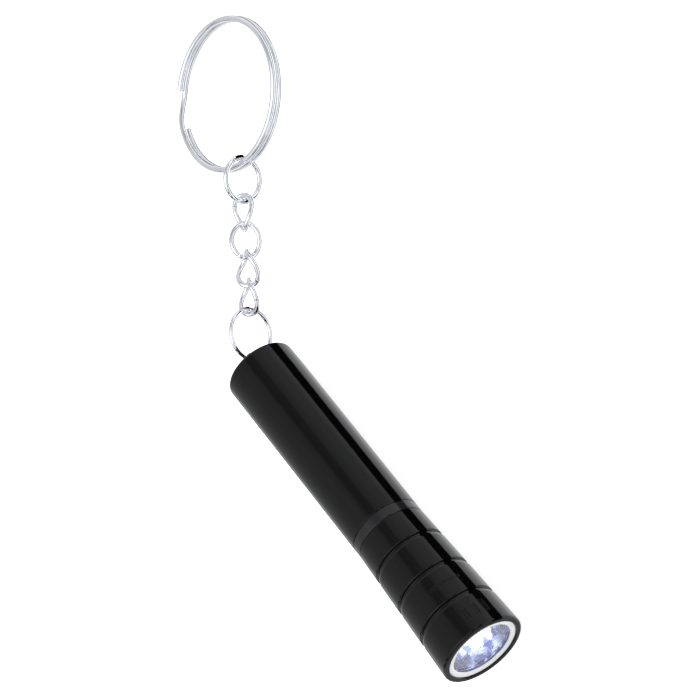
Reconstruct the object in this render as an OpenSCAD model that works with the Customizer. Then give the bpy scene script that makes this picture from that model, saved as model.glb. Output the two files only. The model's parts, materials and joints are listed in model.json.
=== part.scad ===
// Keychain flashlight: a round torch whose head twists to switch it on, with a
// short chain and a split ring at its tail.
// Origin: centre of the front lip. +X runs along the torch, out of the lens. +Z is up.
// The torch lies on its side, and z = -head_r is the surface that it rests on.
// Across the torch every size is built outwards from the cells, and along the head every
// station is built backwards from the lens, so what fits together stays together.

/* [Cells] */
// Diameter of a button cell
cell_d = 7.9; // [6:0.1:12]
// Thickness of a button cell
cell_t = 3.6; // [2.5:0.1:4.4]
// Wall of the insulating sleeve round the cells
sleeve_wall = 0.18; // [0.1:0.01:0.3]
// Wire diameter of the tail spring
spring_wire = 0.5; // [0.4:0.05:0.6]
// Turns of the tail spring
spring_turns = 9; // [6:1:11]

/* [Barrel] */
// Length of the barrel, from its tail to the grey band
barrel_len = 35.9; // [29:0.1:50]
// Wall of the screwed neck round the cells
neck_wall = 0.67; // [0.55:0.01:1.2]
// Height of the barrel's shoulder above its neck
shoulder_step = 0.88; // [0.7:0.01:1.5]
// Thickness of the closed tail
tail_wall = 6; // [4.5:0.1:8]
// Radius of the tail's rounded edge
tail_round = 0.6; // [0.2:0.1:1]
// Pitch of the neck's thread
thread_pitch = 0.8; // [0.5:0.05:1]
// Depth of the neck's thread
thread_depth = 0.25; // [0.15:0.05:0.3]
// Width of the grey band between the barrel and the head
band_w = 1.8; // [1:0.1:2.4]
// Section diameter of the seal on the neck
seal_d = 0.42; // [0.3:0.02:0.5]

/* [Head] */
// Length of the head, from the grey band to the front lip
head_len = 24.2; // [20:0.1:32]
// How much the head's radius grows from the band to the lip
flare_rise = 1.075; // [0.5:0.025:2]
// Distance of the first groove behind the front lip
first_groove = 6.5; // [5:0.1:7]
// Distance from one groove to the next
groove_pitch = 6.3; // [4:0.1:6.5]
// Width of each groove
groove_w = 0.55; // [0.3:0.05:0.8]
// Depth of each groove
groove_deep = 0.35; // [0.2:0.05:0.5]
// Radius of the front lip's outer edge
lip_round = 0.45; // [0.2:0.05:0.5]
// Width of the front lip
lip_w = 0.945; // [0.8:0.005:1.3]
// Thickness of the web that the lamp module seats on
web = 0.8; // [0.5:0.1:1.2]
// Depth of the marks pressed into the head
mark_deep = 0.16; // [0.05:0.01:0.25]

/* [Lamp] */
// Diameter of the lamp's dome
led_d = 5; // [4:0.1:6]
// Length of the lamp from its flange to the tip of its dome
led_len = 8.6; // [7:0.1:10]
// How far the lamp's flange stands out past its dome
led_flange_w = 0.4; // [0.2:0.05:0.5]
// Space between the lamp's dome and the lens
led_room = 2.05; // [1:0.05:3]
// Width of the white front ring
front_ring_w = 0.88; // [0.7:0.01:1.4]
// Thickness of the clear lens
lens_t = 0.6; // [0.4:0.1:1.2]
// Distance from the web back to the circuit board
holder_len = 4.85; // [3.5:0.05:5.5]
// Thickness of the circuit board
board_t = 0.8; // [0.6:0.1:1]
// Wall of the reflector
reflector_wall = 0.45; // [0.3:0.05:0.6]

/* [Chain] */
// Wire diameter of the tail ring
tail_ring_wire = 0.78; // [0.6:0.01:1]
// Inside diameter of the tail ring
tail_ring_in = 7.18; // [5.6:0.02:9]
// Wall round the eye's hole
eye_wall = 0.5; // [0.4:0.05:0.8]
// Thickness of the eye
eye_t = 1; // [0.8:0.1:1.2]
// Wire diameter of the chain links
link_wire = 0.9; // [0.7:0.02:1.1]
// Inside length of a chain link
link_in_len = 4.54; // [4.4:0.02:5.6]
// Inside width of a chain link
link_in_w = 3.48; // [3.2:0.02:4.2]
// Wire diameter of the jump ring
jump_wire = 0.9; // [0.7:0.02:1.1]
// Inside diameter of the jump ring
jump_in = 6.06; // [5:0.02:7.4]
// Outer diameter of the split ring
split_d = 25; // [20:0.5:32]
// Wire diameter of the split ring
split_wire = 1.04; // [0.9:0.01:1.4]
// Space between wires that hook into each other
hook_gap = 0.06; // [0.04:0.01:0.1]

/* [Hidden] */
$fn = 96;

// Clearances
run_gap = 0.08;        // neck in head, all round
slip_gap = 0.05;       // pieces that slide together by hand
sleeve_gap = 0.07;     // sleeve in bore, all round
push_gap = 0.02;       // pieces that are pushed into a seat
touch_gap = 0.05;      // faces that meet when the head is screwed home
seal_squeeze = 0.04;   // how far the seal stands out of its groove
eye_play = 0.31;       // tail ring's wire in the eye's hole, all round

// Edges that are broken by a small bevel
fine_edge = 0.08;
edge = 0.12;
rim_edge = 0.15;

// Radii across the torch, outwards from the cells
cells = 4;
cell_r = cell_d/2;
sleeve_r = cell_r + slip_gap + sleeve_wall;
bore_r = sleeve_r + sleeve_gap;
neck_r = bore_r + neck_wall;
head_bore_r = neck_r + run_gap;
barrel_r = neck_r + shoulder_step;
head_r = barrel_r + flare_rise;
recess_r = head_r - lip_w;
window_r = recess_r - front_ring_w;
ring_out_r = recess_r - push_gap;
lens_r = recess_r - 0.4;
cavity_r = lens_r - 0.1;

// Stations of the head, backwards from the lip
front_ring_t = 0.3;
front_ring_back = 0.25;
front_ring_bevel = 0.08;
lens_front = -front_ring_back - front_ring_t;
lens_back = lens_front - lens_t;
recess_gap = 0.1;
recess_floor = lens_back - recess_gap;
led_tip = lens_back - led_room;
flange_t = 1;
flange_back = led_tip - led_len;
web_back = flange_back + flange_t;
web_front = web_back + web;
reflector_back = web_front + 1.4;
board_front = web_back - holder_len;
board_back = board_front - board_t;
ground_t = 0.4;
ground_back = board_back - ground_t;

// Stations of the barrel
head_rear = -head_len;
shoulder_x = head_rear - band_w;
neck_front = ground_back - touch_gap;
tail_x = shoulder_x - barrel_len;
floor_x = tail_x + tail_wall;
seal_r = seal_d/2;
seal_x = head_rear + 1.5;
thread_start = seal_x + 1;

// Lamp module
holder_r = head_bore_r - slip_gap;
holder_hole_r = holder_r - 1.3;
holder_floor_t = 0.9;
led_r = led_d/2;
flange_r = led_r + led_flange_w;
web_hole_r = led_r + 0.3;
bowl_hole_r = led_r + 0.15;
bowl_mouth_r = cavity_r - push_gap - reflector_wall;
module_r = holder_r - 0.1;
lead_r = 0.25;
lead_y = 1.27;
contact_r = 1.3;
contact_nose = 0.4;
resistor_size = [0.6, 2.4, 1.2];
resistor_z = 1.35;

// Stack of cells
contact_len = 1.1;
stack_front = board_back - contact_len;
stack_back = stack_front - cells*cell_t;
rim_t = 0.35;
cap_step = 0.75;
plate_t = 0.5;
plate_back = stack_back - plate_t;
plate_r = sleeve_r - sleeve_wall - slip_gap;
sleeve_front = stack_front - 0.2;
spring_len = plate_back - floor_x;
spring_r = cell_r - 0.9;

// Grooves and marks on the head
grooves = 3;
groove_edge = 0.14;
mark_w = 0.5;
mark_len = 2.2;
mark_turns = [10, 24, 38];
dash_w = 0.4;
dash_len = 0.44;
dash_turns = [13:7:55];

// Eye at the tail
eye_hole_d = tail_ring_wire + 2*eye_play;
eye_d = eye_hole_d + 2*eye_wall;
eye_reach = eye_d/2 + 0.8;
eye_flange = 0.4;
eye_stem_r = 0.9;
eye_stem_len = 3;

// Chain. Each piece points away from the piece before it, and its heading is the angle
// from -X towards +Y. All slope down by the same dip, so that the jump ring stands on
// the surface that the torch rests on.
headings = [40, 46, 41, 39, 42, 46];
// Angle of a link's width at its near end and at its far end
near_turn = [-15, -33, -62, 34];
far_turn = [42, 42, -42, -18];
// Where each link's joint is cut, as an angle round the link
seams = [100, 180, 215, 300];
seam_gap = 0.1;
eye_slack = 0.16;
tail_ring_r = (tail_ring_in + tail_ring_wire)/2;
jump_r = (jump_in + jump_wire)/2;
link_len = link_in_len + link_wire;
link_w = link_in_w + link_wire;
half_link = link_len/2;
hook_tail = (tail_ring_wire + link_wire)/2 + hook_gap;
hook_link = link_wire + hook_gap;
hook_jump = (jump_wire + link_wire)/2 + hook_gap;

function unit(v) = v/norm(v);
chain_reach = 2*tail_ring_r + eye_slack - hook_tail + 4*link_len - 3*hook_link
    - hook_jump + jump_r;
chain_drop = head_r - jump_r - jump_wire/2;
dip = asin(chain_drop/chain_reach);
function heading(i) =
    [-cos(headings[i])*cos(dip), sin(headings[i])*cos(dip), -sin(dip)];
function side(d) = unit(cross(d, [0, 0, 1]));
function above(d) = cross(side(d), d);

eye_c = [tail_x - eye_reach, 0, 0];
tail_ring_c = eye_c + (tail_ring_r + eye_slack)*heading(0);
link1_c = tail_ring_c + (tail_ring_r - hook_tail)*heading(0) + half_link*heading(1);
link2_c = link1_c + (half_link - hook_link)*heading(1) + half_link*heading(2);
link3_c = link2_c + (half_link - hook_link)*heading(2) + half_link*heading(3);
link4_c = link3_c + (half_link - hook_link)*heading(3) + half_link*heading(4);
jump_c = link4_c + (half_link - hook_jump)*heading(4) + jump_r*heading(5);
link_c = [link1_c, link2_c, link3_c, link4_c];

// Split ring: its far side rests on the surface, and its near side in the jump ring
split_heading = 32;
split_tilt = 6.6;
split_gap = 0.04;
split_pitch = split_wire + split_gap;
split_r = (split_d - split_wire)/2;
split_turns = 690;
split_step_turn = 30;
split_start = 98;
split_rise = split_r*sin(split_tilt);
split_z = -head_r + split_wire/2 + split_pitch/2*cos(split_tilt) + split_rise;
split_below = jump_c[2] - split_z - split_rise;
split_hook_gap = 0.2;   // the tilted turns cross the jump ring aslant, so this hook needs more room
split_room = jump_r - (jump_wire + split_wire)/2 - split_hook_gap;
split_hook = sqrt(pow(split_room, 2) - pow(split_below + split_pitch/2, 2));
split_reach = split_hook + split_r*cos(split_tilt);
split_c = [
    jump_c[0] - split_reach*cos(split_heading),
    jump_c[1] + split_reach*sin(split_heading),
    split_z
];

module turned(outline) rotate([0, 90, 0]) rotate_extrude() polygon(outline);

// Points of an arc from angle a0 to a1, in steps that suit a small fillet
function arc(c, r, a0, a1, n = 5) =
    [for (i = [0:n]) let (a = a0 + (a1 - a0)*i/n) c + r*[cos(a), sin(a)]];

// A round wire along a row of points, given the two directions across each point
module wire(path, across, up, r, sides = 12) {
    n = len(path);
    corners = [for (i = [0:n - 1]) for (k = [0:sides - 1])
        let (a = 360*k/sides) path[i] + r*(cos(a)*across[i] + sin(a)*up[i])];
    walls = [for (i = [0:n - 2]) for (k = [0:sides - 1])
        let (m = (k + 1) % sides)
        [i*sides + k, i*sides + m, (i + 1)*sides + m, (i + 1)*sides + k]];
    start_cap = [[for (k = [sides - 1:-1:0]) k]];
    end_cap = [[for (k = [0:sides - 1]) (n - 1)*sides + k]];
    polyhedron(corners, concat(walls, start_cap, end_cap), convexity = 10);
}

// A wire that coils about +Z
module coil(radius, r, turn, height, rings, sides = 12) {
    path = [for (i = [0:rings])
        let (a = turn(i/rings)) [radius*cos(a), radius*sin(a), height(i/rings)]];
    across = [for (i = [0:rings]) let (a = turn(i/rings)) [cos(a), sin(a), 0]];
    up = [for (i = [0:rings]) [0, 0, 1]];
    wire(path, up, across, r, sides);
}

/* Barrel */

module barrel_shell() {
    neck_root = neck_r - thread_depth;
    seal_floor = neck_r - seal_d + seal_squeeze;
    crest = 0.05;
    color("#1d1d1f")
    difference() {
        turned(concat(
            [[0, tail_x]],
            arc([barrel_r - tail_round, tail_x + tail_round], tail_round, -90, 0),
            [
                [barrel_r, shoulder_x], [neck_r, shoulder_x], [neck_r, seal_x - seal_r],
                [seal_floor, seal_x - seal_r], [seal_floor, seal_x + seal_r],
                [neck_r, seal_x + seal_r], [neck_r, neck_front], [bore_r, neck_front],
                [bore_r, floor_x], [0, floor_x]
            ]));
        for (x = [thread_start + thread_pitch/2:thread_pitch:neck_front - thread_pitch])
            turned([
                [neck_root, x - crest], [neck_r + crest, x - thread_pitch/2 + crest],
                [neck_r + crest, x + thread_pitch/2 - crest], [neck_root, x + crest]
            ]);
        // Blind hole for the eye's stem
        translate([tail_x - 1, 0, 0])
            rotate([0, 90, 0]) cylinder(r = eye_stem_r + push_gap, h = 1 + eye_stem_len + touch_gap);
    }
}

module key_eye() {
    color("#b9bcc2") {
        difference() {
            union() {
                translate(eye_c) cylinder(d = eye_d, h = eye_t, center = true);
                translate([eye_c[0], -eye_d/2, -eye_t/2]) cube([eye_reach, eye_d, eye_t]);
                translate([tail_x - eye_flange, 0, 0])
                    rotate([0, 90, 0]) cylinder(r = eye_d/2 + rim_edge, h = eye_flange);
                translate([tail_x - eye_flange, 0, 0])
                    rotate([0, 90, 0]) cylinder(r = eye_stem_r, h = eye_stem_len + eye_flange);
            }
            translate(eye_c) cylinder(d = eye_hole_d, h = eye_t + 2, center = true);
        }
    }
}

module tail_spring() {
    r = spring_wire/2;
    color("#c9ccd1")
    translate([floor_x, 0, 0]) rotate([0, 90, 0])
        coil(spring_r, r, function(t) 360*spring_turns*t,
            function(t) r + (spring_len - 2*r)*t, 16*spring_turns, 8);
}

module spring_plate() {
    color("#c8a85a")
        turned([[0, plate_back], [plate_r, plate_back], [plate_r, stack_back], [0, stack_back]]);
}

module battery_sleeve() {
    inner = sleeve_r - sleeve_wall;
    color("#e8e6de")
        turned([[inner, plate_back], [sleeve_r, plate_back],
            [sleeve_r, sleeve_front], [inner, sleeve_front]]);
}

// A button cell: a can with a rolled edge, and its smaller cap towards the tail
module cell(i) {
    front = stack_front - (i - 1)*cell_t;
    back = front - cell_t;
    cap_r = cell_r - cap_step;
    color("#cfd2d6")
        turned([
            [0, back], [cap_r, back], [cap_r, back + rim_t], [cell_r - rim_edge, back + rim_t],
            [cell_r, back + rim_t + rim_edge], [cell_r, front - rim_edge],
            [cell_r - rim_edge, front], [0, front]
        ]);
}

module seal_ring() {
    color("#303030")
        translate([seal_x, 0, 0]) rotate([0, 90, 0])
        rotate_extrude() translate([neck_r - seal_r + seal_squeeze, 0])
        circle(r = seal_r - push_gap/4, $fn = 24);
}

module band_ring() {
    color("#3c3d40")
        turned([
            [neck_r + push_gap, shoulder_x], [barrel_r - edge, shoulder_x],
            [barrel_r, shoulder_x + edge], [barrel_r, head_rear - edge - touch_gap],
            [barrel_r - edge, head_rear - touch_gap], [neck_r + push_gap, head_rear - touch_gap]
        ]);
}

/* Head */

// Radius of the head's flare at a station
function flare(x) = barrel_r + (head_r - barrel_r)*(x - head_rear)/head_len;

function groove(x) = [
    [flare(x - groove_w/2 - groove_edge), x - groove_w/2 - groove_edge],
    [flare(x - groove_w/2) - groove_edge, x - groove_w/2],
    [flare(x) - groove_deep, x - groove_w/2 + groove_edge/2],
    [flare(x) - groove_deep, x + groove_w/2 - groove_edge/2],
    [flare(x + groove_w/2) - groove_edge, x + groove_w/2],
    [flare(x + groove_w/2 + groove_edge), x + groove_w/2 + groove_edge]
];

// Shallow pads sunk into the head in a row round it, at angles from +Y towards +Z
module mark_row(x, len, w, turns) {
    for (turn = turns)
        rotate([turn - 90, 0, 0])
            translate([x - len/2, -w/2, flare(x) - mark_deep]) cube([len, w, flare_rise]);
}

module head_shell() {
    color("#1d1d1f")
    difference() {
        turned(concat(
            [
                [head_bore_r, head_rear], [barrel_r - edge, head_rear],
                [flare(head_rear + edge), head_rear + edge]
            ],
            [for (i = [grooves - 1:-1:0]) each groove(-first_groove - i*groove_pitch)],
            arc([head_r - lip_round, -lip_round], lip_round, 3, 90),
            [
                [recess_r + edge, 0], [recess_r, -edge], [recess_r, recess_floor],
                [cavity_r, recess_floor], [cavity_r, web_front], [web_hole_r, web_front],
                [web_hole_r, web_back], [head_bore_r, web_back]
            ]));
        mark_row(-first_groove/2, mark_len, mark_w, mark_turns);
        mark_row(-first_groove - groove_pitch/2, dash_len, dash_w, dash_turns);
    }
}

module front_ring() {
    skirt_r = lens_r + push_gap;
    front = -front_ring_back;
    color("#eceae4")
        turned([
            [window_r, lens_front], [window_r, front - front_ring_bevel],
            [window_r + front_ring_bevel, front],
            [ring_out_r - fine_edge, front], [ring_out_r, front - fine_edge], [ring_out_r, lens_back],
            [skirt_r, lens_back], [skirt_r, lens_front + push_gap/2], [window_r, lens_front + push_gap/2]
        ]);
}

module lens() {
    color("#dfe8ff", 0.4)
        turned([[0, lens_back], [lens_r, lens_back], [lens_r, lens_front], [0, lens_front]]);
}

// The bowl's radius grows as the square root of the distance from its back
module reflector() {
    depth = recess_floor - reflector_back;
    steps = 10;
    bowl = [for (i = [0:steps]) let (t = i/steps)
        [sqrt(bowl_hole_r^2 + (bowl_mouth_r^2 - bowl_hole_r^2)*t), reflector_back + depth*t]];
    color("#d5dbe8")
        turned(concat(bowl,
            [for (i = [steps:-1:0]) [bowl[i][0] + reflector_wall, bowl[i][1]]]));
}

module led() {
    dome_x = led_tip - led_r;
    color("#e9f0ff")
        turned(concat(
            [[0, flange_back], [flange_r, flange_back], [flange_r, flange_back + flange_t - push_gap],
                [led_r, flange_back + flange_t - push_gap]],
            arc([0, dome_x], led_r, 0, 90, 12)));
}

module led_leads() {
    color("#c9ccd1")
        for (s = [-1, 1])
            translate([board_front, s*lead_y, 0])
                rotate([0, 90, 0]) cylinder(r = lead_r, h = flange_back - board_front);
}

module led_holder() {
    floor_hole_r = lead_y + 2*lead_r + rim_edge;
    color("#f1efe8")
        turned([
            [holder_hole_r, board_front], [holder_r, board_front], [holder_r, web_back],
            [flange_r + slip_gap, web_back], [flange_r + slip_gap, flange_back],
            [floor_hole_r, flange_back], [floor_hole_r, flange_back - holder_floor_t],
            [holder_hole_r, flange_back - holder_floor_t]
        ]);
}

module circuit_board() {
    color("#2f7a4a")
        turned([[0, board_back], [module_r, board_back], [module_r, board_front], [0, board_front]]);
}

module resistor() {
    color("#2a2a2a")
        translate([board_front, -resistor_size[1]/2, resistor_z]) cube(resistor_size);
}

module centre_contact() {
    color("#c8a85a")
        turned([
            [0, stack_front + touch_gap], [contact_r - contact_nose, stack_front + touch_gap],
            [contact_r, stack_front + touch_gap + contact_nose], [contact_r, board_back], [0, board_back]
        ]);
}

module ground_ring() {
    ground_hole_r = bore_r - 0.3;
    color("#c8a85a")
        turned([[ground_hole_r, ground_back], [module_r, ground_back],
            [module_r, board_back], [ground_hole_r, board_back]]);
}

/* Chain */

// A plain ring of wire with a cut joint, standing in the plane of dir and the vertical
module plain_ring(c, dir, radius, wire_d, cut) {
    gap = seam_gap/radius*180/PI;
    translate(c)
        rotate([0, 0, 180 - atan2(dir[1], -dir[0])])
        rotate([90, 0, 0])
        rotate_extrude(angle = 360 - gap, start = cut + gap/2)
        translate([radius, 0]) circle(d = wire_d, $fn = 32);
}

// A link is an oval whose width turns about its length from one end to the other
module chain_link(i) {
    d = heading(i);
    a0 = near_turn[i - 1];
    a1 = far_turn[i - 1];
    rings = 44;
    gap = seam_gap/half_link*90/PI;
    turns = [for (k = [0:rings]) seams[i - 1] + gap + (360 - 2*gap)*k/rings];
    path = [for (t = turns)
        let (w = (a0 + a1)/2 + (a1 - a0)/2*cos(t))
        half_link*cos(t)*d + link_w/2*sin(t)*(cos(w)*side(d) + sin(w)*above(d))];
    ahead = [for (k = [0:rings])
        let (p = path[max(k - 1, 0)], q = path[min(k + 1, rings)]) unit(q - p)];
    across = [for (k = [0:rings]) unit(path[k] - (path[k]*ahead[k])*ahead[k])];
    up = [for (k = [0:rings]) cross(ahead[k], across[k])];
    color("#c4c8d0")
        translate(link_c[i - 1]) wire(path, across, up, link_wire/2);
}

module tail_ring() {
    color("#c4c8d0") plain_ring(tail_ring_c, heading(0), tail_ring_r, tail_ring_wire, 60);
}

module jump_ring() {
    color("#c4c8d0") plain_ring(jump_c, heading(5), jump_r, jump_wire, 235);
}

// Two turns of wire lying on each other, with one step between them
module split_ring() {
    step_start = split_turns - 360;
    color("#c4c8d0")
        translate(split_c)
        rotate([0, 0, 180 - split_heading])
        rotate([0, split_tilt, 0])
        coil(split_r, split_wire/2, function(t) split_start + split_turns*t,
            function(t) let (s = (split_turns*t - step_start)/split_step_turn, c = min(1, max(0, s)))
                split_pitch*(c*c*(3 - 2*c) - 0.5), 115);
}

barrel_shell();
key_eye();
tail_spring();
spring_plate();
battery_sleeve();
cell(1);  // cell_1
cell(2);  // cell_2
cell(3);  // cell_3
cell(4);  // cell_4
seal_ring();
band_ring();
head_shell();
front_ring();
lens();
reflector();
led();
led_leads();
led_holder();
circuit_board();
resistor();
centre_contact();
ground_ring();
tail_ring();
chain_link(1);  // chain_link_1
chain_link(2);  // chain_link_2
chain_link(3);  // chain_link_3
chain_link(4);  // chain_link_4
jump_ring();
split_ring();
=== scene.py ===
# %% [markdown]
# # A keychain torch
# A small black torch with a twisting head hangs on a short chain and a split ring.
# Every skin below is worked out as a formula over two parameters, and every finish is a
# short sum of noises, so a change of one size or one colour runs through the whole piece.
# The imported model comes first: it says where each piece lies, and what it moves with.

import json

import bpy
import numpy as np
from mathutils import Matrix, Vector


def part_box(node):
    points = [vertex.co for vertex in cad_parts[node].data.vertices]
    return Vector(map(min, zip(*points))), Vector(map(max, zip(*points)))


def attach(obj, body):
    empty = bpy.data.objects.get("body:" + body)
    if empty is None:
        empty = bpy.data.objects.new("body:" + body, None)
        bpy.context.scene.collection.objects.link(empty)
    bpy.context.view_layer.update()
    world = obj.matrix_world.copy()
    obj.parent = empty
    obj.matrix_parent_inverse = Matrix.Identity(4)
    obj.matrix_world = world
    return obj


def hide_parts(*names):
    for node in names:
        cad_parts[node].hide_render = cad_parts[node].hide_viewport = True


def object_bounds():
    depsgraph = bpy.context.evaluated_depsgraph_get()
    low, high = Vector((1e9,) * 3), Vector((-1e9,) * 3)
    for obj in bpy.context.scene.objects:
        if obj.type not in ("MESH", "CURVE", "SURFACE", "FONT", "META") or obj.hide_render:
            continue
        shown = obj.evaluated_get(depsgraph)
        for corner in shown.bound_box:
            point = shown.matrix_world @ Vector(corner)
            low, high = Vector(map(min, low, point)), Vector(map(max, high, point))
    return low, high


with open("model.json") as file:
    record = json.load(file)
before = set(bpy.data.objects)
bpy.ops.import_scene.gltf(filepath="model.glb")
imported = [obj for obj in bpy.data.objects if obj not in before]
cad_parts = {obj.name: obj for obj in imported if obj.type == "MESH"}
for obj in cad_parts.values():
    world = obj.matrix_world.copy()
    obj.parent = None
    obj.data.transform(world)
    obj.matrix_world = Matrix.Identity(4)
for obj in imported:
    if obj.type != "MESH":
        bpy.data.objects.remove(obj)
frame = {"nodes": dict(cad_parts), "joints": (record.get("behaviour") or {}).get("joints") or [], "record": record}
cad_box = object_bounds()
MM = 0.001
BODY = {node: body for body, nodes in frame["record"]["behaviour"]["bodies"].items() for node in nodes}


def span(node):
    """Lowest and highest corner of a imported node, in millimetres."""
    return np.array([list(corner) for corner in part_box(node)])/MM


# %% [markdown]
# ## Camera
# The view is a long lens from well above, turned on its side, so that the torch runs
# diagonally down the picture. A camera needs a place and three directions. It could be
# aimed with a constraint, but a matrix made from an azimuth, an elevation and a roll is
# shorter, and it stays put when the pieces move.

# %% Camera
aim = np.array([-48.0, 16.3, 0.0])
distance = 486.7
azimuth, elevation, roll = np.radians([46.08, 42.03, -96.5])
towards = np.array([np.cos(elevation)*np.cos(azimuth), np.cos(elevation)*np.sin(azimuth), np.sin(elevation)])
level = np.array([-np.sin(azimuth), np.cos(azimuth), 0.0])
upright = np.cross(towards, level)
right = np.cos(roll)*level + np.sin(roll)*upright
up = np.cross(towards, right)

lens_data = bpy.data.cameras.new("camera")
lens_data.sensor_width = 36
lens_data.lens = 165.5
lens_data.clip_start = 0.01
camera = bpy.data.objects.new("camera", lens_data)
bpy.context.scene.collection.objects.link(camera)
pose = np.eye(4)
pose[:3, :3] = np.column_stack([right, up, towards])
pose[:3, 3] = (aim + distance*towards)*MM
camera.matrix_world = Matrix(pose.tolist())
bpy.context.scene.camera = camera
print("camera at", np.round(pose[:3, 3], 4))

# %% [markdown]
# ## Shader maths
# A finish is easier to read as a sum than as a drawing of boxes and wires. This class
# holds one output of a node, and its operators add the Math node that the sum asks for.
# Plain numbers are worked out before they reach the tree.

# %% Sums of sockets


class Signal:
    """One output in a node tree, used in sums: each operator adds its own Math node."""

    def __init__(self, tree, socket):
        self.tree, self.socket = tree, socket

    def _sum(self, operation, first, second):
        """A Math node of one operation on two values."""
        return self.tree.node("ShaderNodeMath", {"operation": operation}, {0: first, 1: second})

    def __add__(self, other):
        return self._sum("ADD", self, other)

    def __sub__(self, other):
        return self._sum("SUBTRACT", self, other)

    def __rsub__(self, other):
        return self._sum("SUBTRACT", other, self)

    def __mul__(self, other):
        return self._sum("MULTIPLY", self, other)

    def __truediv__(self, other):
        return self._sum("DIVIDE", self, other)

    def __pow__(self, other):
        return self._sum("POWER", self, other)

    __radd__, __rmul__ = __add__, __mul__


class Tree:
    """A node tree with one way of adding a node, and the few patterns that all finishes share."""

    def __init__(self, owner):
        owner.use_nodes = True
        self.owner, self.nodes, self.links = owner, owner.node_tree.nodes, owner.node_tree.links
        self.nodes.clear()

    def node(self, kind, settings=None, sockets=None, out=0):
        """A node of a type: its settings come first, then the values or links of its sockets."""
        node = self.nodes.new(kind)
        for name, value in (settings or {}).items():
            setattr(node, name, value)
        for name, value in (sockets or {}).items():
            if isinstance(value, Signal):
                self.links.new(value.socket, node.inputs[name])
            else:
                node.inputs[name].default_value = value
        return Signal(self, node.outputs[out]) if len(node.outputs) else None

    def place(self, scale=(1, 1, 1), source="Object"):
        """Coordinates on the piece in millimetres, stretched by a scale for each axis."""
        metres = self.node("ShaderNodeTexCoord", out=source)
        unit = 1/MM if source == "Object" else 1
        return self.node("ShaderNodeMapping", {"vector_type": "POINT"},
                         {"Vector": metres, "Scale": [unit*s for s in scale]})

    def noise(self, scale, detail=3, stretch=(1, 1, 1), source="Object", rough=0.5):
        """Soft noise from 0 to 1, with that many features in a millimetre."""
        return self.node("ShaderNodeTexNoise", {},
                         {"Vector": self.place(stretch, source), "Scale": scale,
                          "Detail": detail, "Roughness": rough})

    def ramp(self, value, low, high, start=0.0, end=1.0):
        """A value between low and high becomes one between start and end, eased at both ends."""
        return self.node("ShaderNodeMapRange", {"interpolation_type": "SMOOTHSTEP"},
                         {"Value": value, "From Min": low, "From Max": high, "To Min": start, "To Max": end})

    def blend(self, share, first, second):
        """A colour between two colours."""
        return self.node("ShaderNodeMix", {"data_type": "RGBA"}, {0: share, 6: first, 7: second}, out=2)

    def bump(self, height, depth):
        """A normal pushed by a height from 0 to 1 that stands for a depth in millimetres."""
        return self.node("ShaderNodeBump", {}, {"Height": height, "Strength": 1.0, "Distance": depth*MM})

    def shell(self, sockets):
        """The Principled shader, joined to the output."""
        surface = self.node("ShaderNodeBsdfPrincipled", {}, sockets)
        self.node("ShaderNodeOutputMaterial", {}, {"Surface": surface})
        return self.owner


def finish(name):
    """A new material's node tree."""
    return Tree(bpy.data.materials.new(name))


# %% [markdown]
# ## Floor and light
# The torch lies on white card in a white tent. The tent is the world: an even white with a
# dark seam running round it just below the horizon, where card and tent meet, and a soft
# grey patch for the tent's opening. Black enamel shows that seam as one crisp dark stripe.
# A straight round bar lying along X reflects a ray without changing how far it points
# along X, so seen from the camera, two dark strips on the lens side of the tent show in the
# wires and hardly in the torch. They darken the wires only a little, and from other sides
# the torch can show them too. An overhead softbox lights the card.

# %% World
tent = bpy.data.worlds.new("tent")
bpy.context.scene.world = tent
sky = Tree(tent)
direction = sky.node("ShaderNodeTexCoord", out="Generated")
height = sky.node("ShaderNodeSeparateXYZ", {}, {"Vector": direction}, out="Z")
across = sky.node("ShaderNodeSeparateXYZ", {}, {"Vector": direction}, out="Y")
lengthwise = sky.node("ShaderNodeSeparateXYZ", {}, {"Vector": direction}, out="X")
opening_at = (-0.515, 0.480, 0.710)
opening = sky.node("ShaderNodeVectorMath", {"operation": "DOT_PRODUCT"},
                   {0: direction, 1: opening_at}, out="Value")
smudge = sky.node("ShaderNodeTexNoise", {}, {"Vector": direction, "Scale": 7.0, "Detail": 2.0})
opening_shade = (sky.ramp(opening + (smudge - 0.5)*0.08, 0.80, 1.0)*0.22
                 + sky.ramp(opening + (smudge - 0.5)*0.05, 0.955, 1.0)*0.30)
near_side = sky.ramp(across, -0.35, 0.45)
wall = 0.62 + near_side*0.20 + sky.ramp(height, 0.0, -0.30, 0.0, 0.26) - opening_shade
roof = sky.ramp(height, 0.86, 0.93, 0.0, 0.48)
strip_places = (0.20, 0.42, 0.03), (0.56, 0.70, 0.02)
low_strip, high_strip = [sky.ramp(height, low, low + soft)*(1 - sky.ramp(height, high - soft, high))
                         for low, high, soft in strip_places]
strips = (low_strip + high_strip)*sky.ramp(lengthwise, -0.40, -0.30)
lens_side = sky.ramp(lengthwise, -0.45, -0.10, 0.0, 0.30)
dome_light = (wall + roof + lens_side)*(1 - strips*0.92)
far_side = 1 - sky.ramp(across, -0.55, 0.05)
seam_light = sky.ramp(across, 0.15, -0.15)*0.62
card_light = 1.45 - far_side*0.90
seam_bottom, seam_top, seam_soft = -0.700, -0.335, 0.015
card_mask = 1 - sky.ramp(height, seam_bottom, seam_bottom + seam_soft)
dome_mask = sky.ramp(height, seam_top, seam_top + seam_soft)
tent_light = card_light*card_mask + dome_light*dome_mask + seam_light*(1 - card_mask - dome_mask)
tint = (0.975, 0.985, 1.0, 1)
seen = sky.node("ShaderNodeLightPath", out="Is Camera Ray")
inside = sky.node("ShaderNodeBackground", {}, {"Color": tint, "Strength": tent_light})
plain = sky.node("ShaderNodeBackground", {}, {"Color": (1, 1, 1, 1), "Strength": 1.0})
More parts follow.
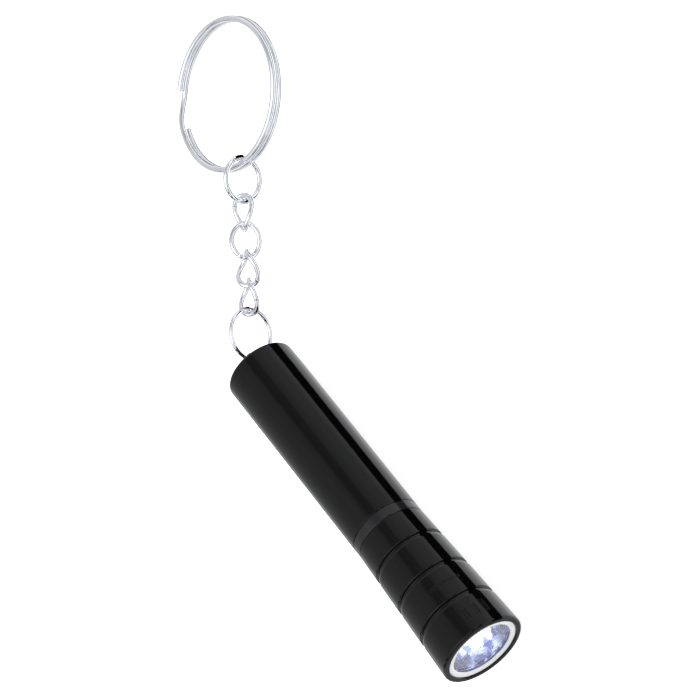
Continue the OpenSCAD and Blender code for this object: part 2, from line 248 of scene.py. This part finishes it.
both = sky.node("ShaderNodeMixShader", {}, {0: seen, 1: inside, 2: plain})
sky.node("ShaderNodeOutputWorld", {}, {"Surface": both})
bpy.context.scene.view_settings.view_transform = "Standard"
bpy.context.scene.view_settings.look = "None"

# %% Floor and softbox
floor_z = cad_box[0].z - 0.02*MM
bpy.ops.mesh.primitive_plane_add(size=2.4, location=(-0.05, 0.015, floor_z))
floor = bpy.context.object
floor.name = "floor"
paper = finish("white_card")
fibre = paper.noise(6.0, 4)
floor.data.materials.append(paper.shell({
    "Base Color": paper.blend(fibre, (0.86, 0.86, 0.865, 1), (0.90, 0.90, 0.90, 1)),
    "Roughness": 0.9, "Specular IOR Level": 0.1, "Normal": paper.bump(fibre, 0.01),
    "Emission Color": (1, 1, 1, 1), "Emission Strength": 0.82}))
floor.visible_glossy = False

box_data = bpy.data.lights.new("softbox", "AREA")
box_data.size = 0.5
box_data.energy = 2.6
softbox = bpy.data.objects.new("softbox", box_data)
softbox.location = (-0.05, 0.0, 0.6)
softbox.visible_glossy = False
bpy.context.scene.collection.objects.link(softbox)
print("floor at", round(floor_z, 5))

# %% [markdown]
# ## Finishes
# The torch is black enamel on turned metal: a deep gloss with the faint waviness of dipped
# paint. Varying the roughness and a very shallow bump does this, where a plain black would
# look like a cut-out. The band between barrel and head is bare anodised metal, so it is
# greyer, and it carries fine turning lines that follow the distance along the torch.

# %% Body finishes


def black_enamel():
    """Black gloss with the slow waviness of dipped paint and a few dull patches."""
    f = finish("black_enamel")
    waves = f.noise(0.45, 2)
    dull = f.noise(0.9, 4)
    dust = f.ramp(f.noise(9.0, 2), 0.68, 0.78)
    return f.shell({
        "Base Color": f.blend(dull, (0.0006, 0.0006, 0.0008, 1), (0.0020, 0.0020, 0.0023, 1)),
        "Roughness": 0.045 + f.ramp(dull, 0.35, 0.75)*0.05 + dust*0.04,
        "IOR": 1.36,
        "Normal": f.bump(waves + dust*0.05, 0.012)})


def grey_band():
    """Anodised metal with turning lines, which are noise that changes only along the torch."""
    f = finish("grey_band")
    lines = f.noise(1.0, 3, stretch=(14, 0.02, 0.02))
    return f.shell({
        "Base Color": f.blend(lines, (0.006, 0.006, 0.0065, 1), (0.014, 0.014, 0.015, 1)),
        "Roughness": 0.07 + lines*0.10,
        "IOR": 1.42,
        "Normal": f.bump(lines, 0.003)})


def white_moulding():
    """Moulded white plastic: a slight warmth, and the fine grain of the mould."""
    f = finish("white_plastic")
    grain = f.noise(7.0, 4)
    cloud = f.noise(0.5, 2)
    return f.shell({
        "Base Color": f.blend(cloud, (0.60, 0.60, 0.60, 1), (0.68, 0.68, 0.675, 1)),
        "Roughness": 0.28 + grain*0.2,
        "Subsurface Weight": 0.15, "Subsurface Scale": 0.3*MM,
        "Normal": f.bump(grain, 0.003)})


def clear_moulding():
    """Clear plastic with a trace of haze."""
    f = finish("clear_plastic")
    haze = f.noise(3.0, 3)
    return f.shell({
        "Base Color": f.blend(haze, (0.97, 0.98, 1.0, 1), (0.99, 0.99, 1.0, 1)),
        "Roughness": 0.01 + haze*0.03,
        "IOR": 1.49, "Transmission Weight": 1.0,
        "Normal": f.bump(f.noise(0.6, 2), 0.004)})


def mirror_moulding():
    """Metallised plastic: a blue-tinted mirror that orange peel breaks into sparkles."""
    f = finish("mirror_plastic")
    peel = f.noise(1.3, 3)
    blotch = f.noise(0.8, 3)
    return f.shell({
        "Base Color": f.blend(f.ramp(blotch, 0.40, 0.58), (0.06, 0.09, 0.28, 1), (0.74, 0.79, 0.95, 1)),
        "Metallic": 1.0,
        "Roughness": 0.10 + blotch*0.16,
        "Normal": f.bump(peel, 0.02)})


def lamp_resin():
    """A lit lamp: blue-white resin that glows, brightest where its chip sits."""
    f = finish("lamp")
    along = f.node("ShaderNodeSeparateXYZ", {}, {"Vector": f.place()}, out="X")
    back, front = span("led")[:, 0]
    glow = f.ramp(along, back, back + (front - back)*0.6)
    swirl = f.noise(1.2, 3)
    share = glow*0.8 + swirl*0.2
    return f.shell({
        "Base Color": f.blend(swirl, (0.80, 0.86, 1.0, 1), (0.92, 0.95, 1.0, 1)),
        "Roughness": 0.08 + swirl*0.05,
        "Emission Color": f.blend(share, (0.30, 0.40, 0.95, 1), (0.92, 0.95, 1.0, 1)),
        "Emission Strength": 6.0})


# %% [markdown]
# Plated wire is nearly a mirror. What makes it look like wire is its drawn grain, which
# runs along its length, so this finish reads the wire's own map, where one coordinate
# follows the wire and the other goes round it. The inner metals share one recipe with
# different colours, since they differ only in colour and in how dull they are.

# %% Metal finishes


def chrome_wire():
    """Bright plating with drawn lines along the wire and a faint cloudiness."""
    f = finish("chrome_wire")
    drawn = f.noise(1.0, 3, stretch=(0.25, 26, 1), source="UV")
    cloud = f.noise(0.7, 3)
    return f.shell({
        "Base Color": f.blend(cloud, (0.86, 0.875, 0.93, 1), (0.97, 0.975, 1.0, 1)),
        "Metallic": 1.0,
        "Roughness": 0.03 + drawn*0.05 + f.ramp(cloud, 0.5, 0.8)*0.04,
        "Normal": f.bump(drawn, 0.005)})


def bare_metal(name, dark, bright, dullness):
    """Worked metal between two colours, with fine random scratches."""
    f = finish(name)
    cloud = f.noise(0.8, 4)
    scratch = f.noise(2.0, 2, stretch=(0.4, 9, 9))
    return f.shell({
        "Base Color": f.blend(cloud, (*dark, 1), (*bright, 1)),
        "Metallic": 1.0,
        "Roughness": dullness + scratch*0.15,
        "Normal": f.bump(scratch, 0.004)})


def soft_matt(name, dark, bright, dullness, grain_size):
    """A dull moulded or printed skin between two colours, with a fine grain."""
    f = finish(name)
    grain = f.noise(grain_size, 4)
    return f.shell({
        "Base Color": f.blend(grain, (*dark, 1), (*bright, 1)),
        "Roughness": dullness + grain*0.15,
        "Normal": f.bump(grain, 0.006)})


FINISHES = {
    "black_enamel": black_enamel(),
    "grey_band": grey_band(),
    "white_plastic": white_moulding(),
    "clear_plastic": clear_moulding(),
    "mirror_plastic": mirror_moulding(),
    "lamp": lamp_resin(),
    "chrome_wire": chrome_wire(),
    "steel": bare_metal("steel", (0.42, 0.43, 0.46), (0.66, 0.67, 0.70), 0.22),
    "brass_contact": bare_metal("brass_contact", (0.60, 0.40, 0.14), (0.86, 0.64, 0.28), 0.24),
    "black_rubber": soft_matt("black_rubber", (0.010, 0.010, 0.010), (0.030, 0.030, 0.030), 0.60, 5.0),
    "sleeve_plastic": soft_matt("sleeve_plastic", (0.66, 0.64, 0.58), (0.80, 0.78, 0.73), 0.35, 3.0),
    "green_board": soft_matt("green_board", (0.010, 0.110, 0.045), (0.030, 0.190, 0.085), 0.30, 4.0),
    "resistor_body": soft_matt("resistor_body", (0.008, 0.008, 0.009), (0.030, 0.030, 0.032), 0.40, 8.0),
}
print("finishes", len(FINISHES))

# %% [markdown]
# ## Outlines and skins
# Nearly everything here is turned or drawn from wire, so two skins are enough: an outline
# carried round an axis, and a circle carried along a path. Real edges are never sharp, and
# it is the small round on an edge that catches light, so every outline is drawn as a few
# corners, each with the radius of its round. A bevel would also do it, but it would round
# every edge of a piece alike.

# %% Outlines


def unit(vectors):
    """Vectors of length one."""
    vectors = np.asarray(vectors, float)
    return vectors/np.linalg.norm(vectors, axis=-1, keepdims=True)


def rounded(corners, closed=True, steps=6, support=0.03):
    """An outline through corners (x, r, round), with each corner replaced by an arc.

    The arc is ((1-s)^2 A + 2 s (1-s) w P + s^2 B) / ((1-s)^2 + 2 s (1-s) w + s^2), where P is the
    corner, A and B lie round/tan(half its angle) away along its two sides, and w is the sine of
    that half angle, which makes the curve a true circle. Two support points near the ends of
    each straight side keep its shading flat.
    """
    corners = np.asarray(corners, float)
    point, radius = corners[:, :2], corners[:, 2].copy()
    back, ahead = np.roll(point, 1, 0) - point, np.roll(point, -1, 0) - point
    if not closed:
        back[0], ahead[-1] = -ahead[0], -back[-1]
        radius[[0, -1]] = 0
    back_len, ahead_len = np.linalg.norm(back, axis=1), np.linalg.norm(ahead, axis=1)
    cosine = np.clip((unit(back)*unit(ahead)).sum(1), -1, 1)
    half = np.arccos(cosine)/2
    reach = np.minimum(radius/np.tan(half), 0.45*np.minimum(back_len, ahead_len))[:, None]
    first, last = point + unit(back)*reach, point + unit(ahead)*reach
    s = np.linspace(0, 1, steps + 1)[None, :, None]
    w = np.sin(half)[:, None, None]
    weights = (1 - s)**2, 2*s*(1 - s)*w, s**2
    arc = sum(k*p[:, None] for k, p in zip(weights, (first, point, last)))/sum(weights)
    side = np.roll(first, -1, 0) - last
    length = np.linalg.norm(side, axis=1)
    share = np.minimum(support/np.maximum(length, 1e-9), 0.3)
    supports = last[:, None] + side[:, None]*np.stack([share, 1 - share], 1)[:, :, None]
    outline = np.concatenate([arc, supports], 1).reshape(-1, 2)
    if not closed:
        outline = outline[:-2]
    apart = np.linalg.norm(np.diff(outline, axis=0), axis=1) > 1e-6
    return outline[np.concatenate([[True], apart])]


def finer(outline, longest):
    """The outline with every side cut into equal parts no longer than its own longest length."""
    start, end = outline[:-1], outline[1:]
    length = np.linalg.norm(end - start, axis=1)
    parts = np.maximum(np.ceil(length/longest((start + end)/2)), 1).astype(int)
    which = np.repeat(np.arange(len(parts)), parts)
    step = np.arange(len(which)) - np.repeat(np.cumsum(parts) - parts, parts)
    share = (step/parts[which])[:, None]
    return np.vstack([start[which] + share*(end - start)[which], outline[-1:]])


def ease(value, low, high):
    """0 below low, 1 above high, and 3t^2 - 2t^3 between them."""
    t = np.clip((value - low)/(high - low), 0, 1)
    return t*t*(3 - 2*t)


# %% Skins


def skin(name, grid, ring, uv=None):
    """A closed mesh over a grid of points in millimetres whose columns go round.

    The rows join up into a ring, or the first and last row are poles. A quad joins each point to
    its neighbours in the next column and the next row. The signed volume, a sixth of the sum of
    a . (b x c), says which way the faces point, and they are turned outwards by it.
    """
    rows, columns = grid.shape[:2]
    if not ring:
        poles = np.array([grid[0, 0], grid[-1, 0]])
        grid = grid[1:-1]
        rows -= 2
    index = np.arange(rows*columns).reshape(rows, columns)
    beside = np.roll(index, -1, 1)
    if ring:
        after, after_beside = np.roll(index, -1, 0), np.roll(beside, -1, 0)
    else:
        after, after_beside, index, beside = index[1:], beside[1:], index[:-1], beside[:-1]
    quads = np.stack([index, beside, after_beside, after], -1).reshape(-1, 4)
    points = grid.reshape(-1, 3)
    fans = np.zeros((0, 3), int)
    if not ring:
        start, end = np.arange(columns), np.arange(columns) + (rows - 1)*columns
        count = len(points)
        tip, tail = np.full(columns, count), np.full(columns, count + 1)
        fans = np.vstack([np.stack([tip, np.roll(start, -1), start], 1),
                          np.stack([tail, end, np.roll(end, -1)], 1)])
        points = np.vstack([points, poles])
    halves = np.vstack([quads[:, [0, 1, 2]], quads[:, [0, 2, 3]], fans])
    a, b, c = points[halves].transpose(1, 0, 2)
    if (a*np.cross(b, c)).sum() < 0:
        quads, fans = quads[:, ::-1], fans[:, ::-1]
    loops = np.concatenate([quads.ravel(), fans.ravel()])
    starts = np.concatenate([np.arange(len(quads))*4, len(quads)*4 + np.arange(len(fans))*3])
    mesh = bpy.data.meshes.new(name)
    mesh.vertices.add(len(points))
    mesh.vertices.foreach_set("co", (points*MM).astype(np.float32).ravel())
    mesh.loops.add(len(loops))
    mesh.loops.foreach_set("vertex_index", loops.astype(np.int32))
    mesh.polygons.add(len(starts))
    mesh.polygons.foreach_set("loop_start", starts.astype(np.int32))
    mesh.update(calc_edges=True)
    mesh.polygons.foreach_set("use_smooth", np.ones(len(starts), bool))
    if uv is not None:
        along, around = uv
        at = np.minimum(loops, rows*columns - 1)
        v = around[at % columns]
        last_face = np.repeat((quads % columns).max(1) - (quads % columns).min(1) > columns/2, 4)
        wrapped = np.concatenate([last_face, np.zeros(fans.size, bool)]) & (at % columns == 0)
        layer = mesh.uv_layers.new(name="wire")
        coordinates = np.stack([along[np.minimum(at // columns, len(along) - 1)], v + wrapped], 1)
        layer.data.foreach_set("uv", coordinates.astype(np.float32).ravel())
    piece = bpy.data.objects.new(name, mesh)
    bpy.context.scene.collection.objects.link(piece)
    return piece


def turned(name, outline, angles, ring=True, cut=None):
    """An outline (x, r) carried round the torch's axis: the point (x, r cos a, r sin a).

    cut gives how deep the skin is cut at each x, r and angle.
    """
    if ring and np.linalg.norm(outline[0] - outline[-1]) < 1e-6:
        outline = outline[:-1]
    x, r = outline[:, :1], outline[:, 1:]
    a = angles[None, :]
    depth = cut(x, r, a) if cut else 0*a
    radius = r - depth
    return skin(name, np.stack([x + 0*a, radius*np.cos(a), radius*np.sin(a)], -1), ring)


def wire(name, path, across, radius, edge, sides=28):
    """A circle carried along an open path, with rounded ends.

    Each ring is path + radius (cos a across + sin a up), where up is square to the path and to
    across. At each end the radius grows over a quarter circle of the edge's radius, from a flat
    cut face.
    """
    ahead = unit(np.gradient(path, axis=0))
    across = unit(across - (across*ahead).sum(1, keepdims=True)*ahead)
    quarter = np.radians(np.linspace(0, 90, 6))
    inset, shrink = edge*(1 - np.cos(quarter)), edge*(1 - np.sin(quarter))
    near = path[0] + inset[:, None]*ahead[0]
    far = (path[-1] - inset[:, None]*ahead[-1])[::-1]
    centre = np.vstack([path[:1], near, path[1:-1], far, path[-1:]])
    size = np.concatenate([[0], radius - shrink, np.full(len(path) - 2, radius), radius - shrink[::-1], [0]])
    pick = np.concatenate([np.zeros(7, int), np.arange(1, len(path) - 1), np.full(7, len(path) - 1)])
    side, lift = across[pick], np.cross(ahead[pick], across[pick])
    a = np.arange(sides)/sides*2*np.pi
    grid = centre[:, None] + size[:, None, None]*(
        np.cos(a)[None, :, None]*side[:, None] + np.sin(a)[None, :, None]*lift[:, None])
    along = np.concatenate([[0], np.cumsum(np.linalg.norm(np.diff(centre[1:-1], axis=0), axis=1))])
    return skin(name, grid, False, uv=(along, np.arange(sides)/sides))


def settle(piece, node, slot):
    """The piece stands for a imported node, moves with that node's body and takes a finish."""
    piece.data.materials.append(FINISHES[slot])
    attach(piece, BODY[node])
    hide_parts(node)
    print(f"{piece.name}: {len(piece.data.polygons)} faces")
    return piece


EVEN = np.linspace(0, 2*np.pi, 192, endpoint=False)

# %% [markdown]
# ## Barrel and band
# The barrel is bar stock turned down to a neck at the front, with a rounded tail and a bore
# for the cells. Its thread is a ripple in the radius: the depth depends on the distance
# along the neck less the share of a turn, which is what makes a helix.

# %% Stations along the torch
tail_x, neck_front = span("barrel_shell")[:, 0]
barrel_r = span("barrel_shell")[1, 2]
shoulder_x, band_front = span("band_ring")[:, 0]
head_rear = span("head_shell")[0, 0]
head_r = span("head_shell")[1, 2]
spring_foot = span("tail_spring")[0, 0]
sleeve_r = span("battery_sleeve")[1, 2]
seal_back, seal_front = span("seal_ring")[:, 0]
bore_r = sleeve_r + 0.07
neck_r = span("seal_ring")[1, 2] - 0.035
stem_r, stem_deep = 0.92, 3.05
print("barrel from", round(tail_x, 2), "to", round(neck_front, 2), "radius", round(barrel_r, 2))

# %% Barrel
thread_pitch, thread_depth = 0.8, 0.25
thread_start, thread_end = seal_front + 0.8, neck_front - 0.6
seal_floor = neck_r - 0.38


def thread(x, r, a):
    """Half the thread's depth times 1 - cos of the turns made, on the neck's outer skin alone."""
    turns = x/thread_pitch - a/(2*np.pi)
    on_neck = ease(x, thread_start, thread_start + 0.3)*(1 - ease(x, thread_end - 0.3, thread_end))
    return thread_depth*(1 - np.cos(2*np.pi*turns))/2*on_neck*(r > neck_r - 0.02)


barrel_outline = rounded([
    (tail_x + stem_deep, 0, 0), (tail_x + stem_deep, stem_r, 0.05), (tail_x, stem_r, 0.05),
    (tail_x, barrel_r, 0.6), (shoulder_x, barrel_r, 0.16), (shoulder_x, neck_r, 0.05),
    (seal_back, neck_r, 0.04), (seal_back, seal_floor, 0.04), (seal_front, seal_floor, 0.04),
    (seal_front, neck_r, 0.04), (neck_front, neck_r, 0.15), (neck_front, bore_r, 0.08),
    (spring_foot, bore_r, 0.1), (spring_foot, 0, 0)], closed=False)
barrel_outline = finer(barrel_outline, lambda middle: np.where(
    (middle[:, 0] > thread_start - 0.2) & (middle[:, 1] > neck_r - 0.02), 0.07, 1.5))
settle(turned("barrel", barrel_outline, EVEN, ring=False, cut=thread), "barrel_shell", "black_enamel")

# %% Band
band_hole = neck_r + 0.02
band_outline = rounded([
    (shoulder_x, band_hole, 0.04), (shoulder_x, barrel_r - 0.02, 0.16),
    (band_front, barrel_r - 0.02, 0.16), (band_front, band_hole, 0.04)])
settle(turned("band", band_outline, EVEN), "band_ring", "grey_band")

# %% [markdown]
# ## Head
# The head flares towards the front. Three grooves run round it, and two rows of shallow
# marks are pressed into its front bands, so that a thumb finds them when it twists. The
# marks could be cut with a boolean, which leaves ragged shading, so they are part of the
# skin's formula instead, and the grid is only made fine where they are.

# %% Head outline
head_bore_r, recess_r, cavity_r, web_hole_r = neck_r + 0.08, 5.93, 5.43, 2.8
groove_stations = (-19.1, -12.8, -6.5)
groove_half, groove_deep = 0.275, 0.35
recess_floor = span("reflector")[1, 0]
web_back = span("led_holder")[1, 0]
web_front = web_back + 0.8


def flare(x):
    """The head's radius grows evenly from the band to the lip."""
    return barrel_r + (head_r - barrel_r)*(1 - x/head_rear)


def groove(x):
    """The rounded corners of one groove, with a gentle lead-in on its front side."""
    bottom, lead = flare(x) - groove_deep, x + groove_half + 0.42
    return [(x - groove_half - 0.10, flare(x - groove_half), 0.20), (x - groove_half + 0.08, bottom, 0.10),
            (x + groove_half - 0.10, bottom, 0.10), (x + groove_half, flare(x) - 0.07, 0.10),
            (lead, flare(lead), 0.60)]


head_outline = rounded([
    (head_rear, head_bore_r, 0.05), (head_rear, barrel_r, 0.18),
    *groove(groove_stations[0]), *groove(groove_stations[1]), *groove(groove_stations[2]),
    (0, head_r, 0.45), (0, recess_r, 0.10), (recess_floor, recess_r, 0.03),
    (recess_floor, cavity_r, 0.03), (web_front, cavity_r, 0.15), (web_front, web_hole_r, 0.05),
    (web_back, web_hole_r, 0.05), (web_back, head_bore_r, 0.10)])

# %% Pressed marks
mark_deep, mark_edge = 0.16, 0.09
bars_x, bars_half, bar_angles = -3.25, (1.1, 0.25), np.radians([10, 24, 38])
dash_x, dash_half, dash_angles = -9.65, (0.22, 0.2), np.radians(np.arange(13, 56, 7))


def pressed(x, r, a, middle, half, places):
    """Depth of a row of pads: 1 inside each rectangle of x and arc length, eased over its edge."""
    down = np.abs(x - middle) - half[0]
    beside = np.abs(a[..., None] - places)*r[..., None] - half[1]
    outside = np.maximum(down[..., None], beside).min(-1)
    return 1 - ease(outside, -mark_edge/2, mark_edge/2)


def head_marks(x, r, a):
    """The bars near the lip and the dashes behind them, on the outer skin alone."""
    outer = r > flare(x) - 0.1
    bars = pressed(x, r, a, bars_x, bars_half, bar_angles)
    dashes = pressed(x, r, a, dash_x, dash_half, dash_angles)
    return mark_deep*np.maximum(bars, dashes)*outer


def head_detail(middle):
    """The longest side at a place: short where marks are pressed, longer elsewhere."""
    near_bars = np.abs(middle[:, 0] - bars_x) < bars_half[0] + 0.2
    near_dashes = np.abs(middle[:, 0] - dash_x) < dash_half[0] + 0.2
    return np.where((near_bars | near_dashes) & (middle[:, 1] > flare(middle[:, 0]) - 0.1), 0.045, 1.2)


marked = np.radians(np.arange(4, 64, 0.4))
plain_angles = np.radians(np.arange(64, 364, 2.0))
head_angles = np.concatenate([marked, plain_angles])
head_outline = finer(np.vstack([head_outline, head_outline[:1]]), head_detail)
settle(turned("head", head_outline, head_angles, cut=head_marks), "head_shell", "black_enamel")

# %% [markdown]
# ## Front ring, lens, bowl and lamp
# A white ring holds a clear lens in front of a metallised bowl. The bowl is a parabola, so
# its radius grows with the square root of the depth. The lamp is the usual round one with
# a flange and a dome. What shows through the lens comes from the real layers behind it:
# light that leaves the dome strikes the far wall of the bowl and comes back as a white
# blaze, and the side walls stay blue.

# %% Front ring
ring_back, ring_front = span("front_ring")[:, 0]
ring_r = span("front_ring")[1, 2]
lens_back, lens_front = span("lens")[:, 0]
lens_r = span("lens")[1, 2]
window_r, ring_bevel = 5.05, 0.08
ring_outline = rounded([
    (lens_front + 0.01, window_r, 0.02), (ring_front - ring_bevel, window_r, 0.08),
    (ring_front, window_r + ring_bevel, 0.10), (ring_front, ring_r, 0.10), (ring_back, ring_r, 0.03),
    (ring_back, lens_r + 0.02, 0.03), (lens_front + 0.01, lens_r + 0.02, 0.02)])
settle(turned("front_moulding", ring_outline, EVEN), "front_ring", "white_plastic")

# %% Lens
lens_outline = rounded([(lens_back, 0, 0), (lens_back, lens_r, 0.06), (lens_front, lens_r, 0.06),
                        (lens_front, 0, 0)], closed=False)
settle(turned("lens_disc", lens_outline, EVEN, ring=False), "lens", "clear_plastic")

# %% Bowl
bowl_back, bowl_front = span("reflector")[:, 0]
bowl_wall = 0.45
bowl_mouth = span("reflector")[1, 2] - bowl_wall
lamp_r = 2.5
bowl_hole = lamp_r + 0.15
depth = np.linspace(0, 1, 60)
bowl_x = bowl_back + (bowl_front - bowl_back)*depth
bowl_radius = np.sqrt(bowl_hole**2 + (bowl_mouth**2 - bowl_hole**2)*depth)
edge_round = np.where((depth == 0) | (depth == 1), 0.08, 0.0)
inner = np.stack([bowl_x, bowl_radius, edge_round], 1)
outer = np.stack([bowl_x, bowl_radius + bowl_wall, edge_round], 1)[::-1]
settle(turned("bowl", rounded(np.vstack([inner, outer])), EVEN), "reflector", "mirror_plastic")

# %% Lamp
lamp_back, lamp_tip = span("led")[:, 0]
flange_r = span("led")[1, 2]
flange_front = lamp_back + 0.98
lamp_outline = rounded([
    (lamp_back, 0, 0), (lamp_back, flange_r, 0.10), (flange_front, flange_r, 0.15),
    (flange_front, lamp_r, 0.10), (lamp_tip, lamp_r, lamp_r), (lamp_tip, 0, 0)], closed=False, steps=20)
settle(turned("lamp_dome", lamp_outline, EVEN, ring=False), "led", "lamp")

# %% [markdown]
# ## Chain
# Each ring and link hooks into the one before it. The places follow from the eye at the
# tail: a heading for each piece, one common dip so that the chain comes down to the floor,
# and the lengths of the pieces. A curb link is an oval whose width turns about its length
# from one end to the other, which is what lets such a chain lie flat.

# %% Places along the chain
headings = np.radians([40, 46, 41, 39, 42, 46])
near_turn = np.radians([-15, -33, -62, 34])
far_turn = np.radians([42, 42, -42, -18])
seams = np.radians([100, 180, 215, 300])
tail_ring_wire, tail_ring_r, eye_slack = 0.78, 3.98, 0.16
link_wire, link_len, link_w = 0.90, 5.44, 4.38
jump_wire, jump_r = 0.90, 3.48
split_wire, split_outer = 1.04, 25.0
hook_gap, seam_gap, split_hook_gap = 0.06, 0.10, 0.2
hook_tail = (tail_ring_wire + link_wire)/2 + hook_gap
hook_link = link_wire + hook_gap
hook_jump = (jump_wire + link_wire)/2 + hook_gap
reach = 2*tail_ring_r + eye_slack - hook_tail + 4*link_len - 3*hook_link - hook_jump + jump_r
drop = head_r - jump_r - jump_wire/2
dip = np.arcsin(drop/reach)
ahead = np.stack([-np.cos(headings)*np.cos(dip), np.sin(headings)*np.cos(dip), np.full(6, -np.sin(dip))], 1)
eye = np.array(next(j["pos_m"] for j in frame["joints"] if j["name"] == "tail_ring_swing"))/MM
tail_ring_c = eye + (tail_ring_r + eye_slack)*ahead[0]
steps_on = np.array([tail_ring_r - hook_tail, *[link_len/2 - hook_link]*3, link_len/2 - hook_jump])[:, None]
half_size = np.array([*[link_len/2]*4, jump_r])[:, None]
centres = tail_ring_c + np.cumsum(steps_on*ahead[:5] + half_size*ahead[1:], axis=0)
print("jump ring centre", np.round(centres[4], 2))

# %% Rings and links


def plain_ring(name, centre, heading, radius, wire_d, cut):
    """A circle standing in the plane of a heading and the vertical, open by a saw cut."""
    gap = seam_gap/radius
    a = np.radians(cut) + np.linspace(gap/2, 2*np.pi - gap/2, 120)[:, None]
    out = np.array([-np.cos(heading), np.sin(heading), 0])
    spoke = np.cos(a)*out + np.sin(a)*np.array([0, 0, 1])
    return wire(name, centre + radius*spoke, spoke, wire_d/2, 0.07)


def curb_link(i):
    """half length cos t along the heading, plus half width sin t across, turned by w.

    w goes from the near end's turn to the far end's as the cosine of t does.
    """
    along = ahead[i + 1]
    side = unit(np.cross(along, [0, 0, 1]))
    above = np.cross(side, along)
    gap = seam_gap/link_len
    t = seams[i] + np.linspace(gap, 2*np.pi - gap, 120)[:, None]
    w = (near_turn[i] + far_turn[i])/2 + (far_turn[i] - near_turn[i])/2*np.cos(t)
    spoke = link_len/2*np.cos(t)*along + link_w/2*np.sin(t)*(np.cos(w)*side + np.sin(w)*above)
    return wire(f"link_{i + 1}", centres[i] + spoke, spoke, link_wire/2, 0.07)


def measure(piece, node):
    """How far a piece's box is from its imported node's box."""
    points = np.empty(len(piece.data.vertices)*3, np.float32)
    piece.data.vertices.foreach_get("co", points)
    points = points.reshape(-1, 3)/MM
    off = np.abs(np.array([points.min(0), points.max(0)]) - span(node)).max()
    print(f"{piece.name} is within {off:.2f} mm of {node}")


tail_ring = plain_ring("tail_loop", tail_ring_c, headings[0], tail_ring_r, tail_ring_wire, 60)
measure(settle(tail_ring, "tail_ring", "chrome_wire"), "tail_ring")
for i in range(4):
    measure(settle(curb_link(i), f"chain_link_{i + 1}", "chrome_wire"), f"chain_link_{i + 1}")
jump_ring = plain_ring("jump_loop", centres[4], headings[5], jump_r, jump_wire, 235)
measure(settle(jump_ring, "jump_ring", "chrome_wire"), "jump_ring")

# %% [markdown]
# ## Split ring
# A split ring is one wire wound nearly twice, with a short step where it climbs over
# itself. It lies almost flat: its far side on the floor, its near side lifted by the jump
# ring that it hangs in.

# %% Split ring
split_heading, split_tilt = np.radians([32, 6.6])
split_pitch = split_wire + 0.04
split_r = (split_outer - split_wire)/2
split_start, split_length, step_length = np.radians([98, 690, 30])
rise = split_r*np.sin(split_tilt)
split_z = -head_r + split_wire/2 + split_pitch/2*np.cos(split_tilt) + rise
below = centres[4][2] - split_z - rise
room = jump_r - (jump_wire + split_wire)/2 - split_hook_gap
split_reach = np.sqrt(room**2 - (below + split_pitch/2)**2) + split_r*np.cos(split_tilt)
split_c = np.array([centres[4][0] - split_reach*np.cos(split_heading),
                    centres[4][1] + split_reach*np.sin(split_heading), split_z])
out = np.array([-np.cos(split_heading), np.sin(split_heading), 0])
beside = np.array([-np.sin(split_heading), -np.cos(split_heading), 0])
away = np.cos(split_tilt)*out - np.sin(split_tilt)*np.array([0, 0, 1])
lift = np.sin(split_tilt)*out + np.cos(split_tilt)*np.array([0, 0, 1])
turn = np.linspace(0, split_length, 420)[:, None]
climb = split_pitch*(ease(turn, split_length - 2*np.pi, split_length - 2*np.pi + step_length) - 0.5)
spoke = np.cos(split_start + turn)*away + np.sin(split_start + turn)*beside
split_ring = wire("split_loop", split_c + split_r*spoke + climb*lift, spoke, split_wire/2, 0.12)
measure(settle(split_ring, "split_ring", "chrome_wire"), "split_ring")

# %% [markdown]
# ## Carried-over pieces
# The cells, contacts, board and the rest sit inside the torch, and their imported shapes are
# right, so they keep them and take a finish. The eye shows a little at the tail, so a copy
# of it gets its edges rounded.

# %% Eye
eye_mesh = frame["nodes"]["key_eye"].data.copy()
eye_piece = bpy.data.objects.new("eye", eye_mesh)
bpy.context.scene.collection.objects.link(eye_piece)
eye_mesh.materials.clear()
bpy.context.view_layer.objects.active = eye_piece
eye_piece.select_set(True)
bpy.ops.object.mode_set(mode="EDIT")
bpy.ops.mesh.select_all(action="SELECT")
bpy.ops.mesh.remove_doubles(threshold=0.001*MM)
bpy.ops.object.mode_set(mode="OBJECT")
soft_edge = eye_piece.modifiers.new("round", "BEVEL")
soft_edge.width = 0.08*MM
soft_edge.segments = 3
soft_edge.limit_method = "ANGLE"
eye_mesh.polygons.foreach_set("use_smooth", np.ones(len(eye_mesh.polygons), bool))
settle(eye_piece, "key_eye", "steel")

# %% Finishes of the inner pieces
INNER = {
    "tail_spring": "steel", "spring_plate": "brass_contact", "battery_sleeve": "sleeve_plastic",
    "cell_1": "steel", "cell_2": "steel", "cell_3": "steel", "cell_4": "steel",
    "seal_ring": "black_rubber", "led_leads": "steel", "led_holder": "white_plastic",
    "circuit_board": "green_board", "resistor": "resistor_body",
    "centre_contact": "brass_contact", "ground_ring": "brass_contact",
}
for node, slot in INNER.items():
    mesh = frame["nodes"][node].data
    mesh.materials.clear()
    mesh.materials.append(FINISHES[slot])
print("inner pieces", len(INNER))
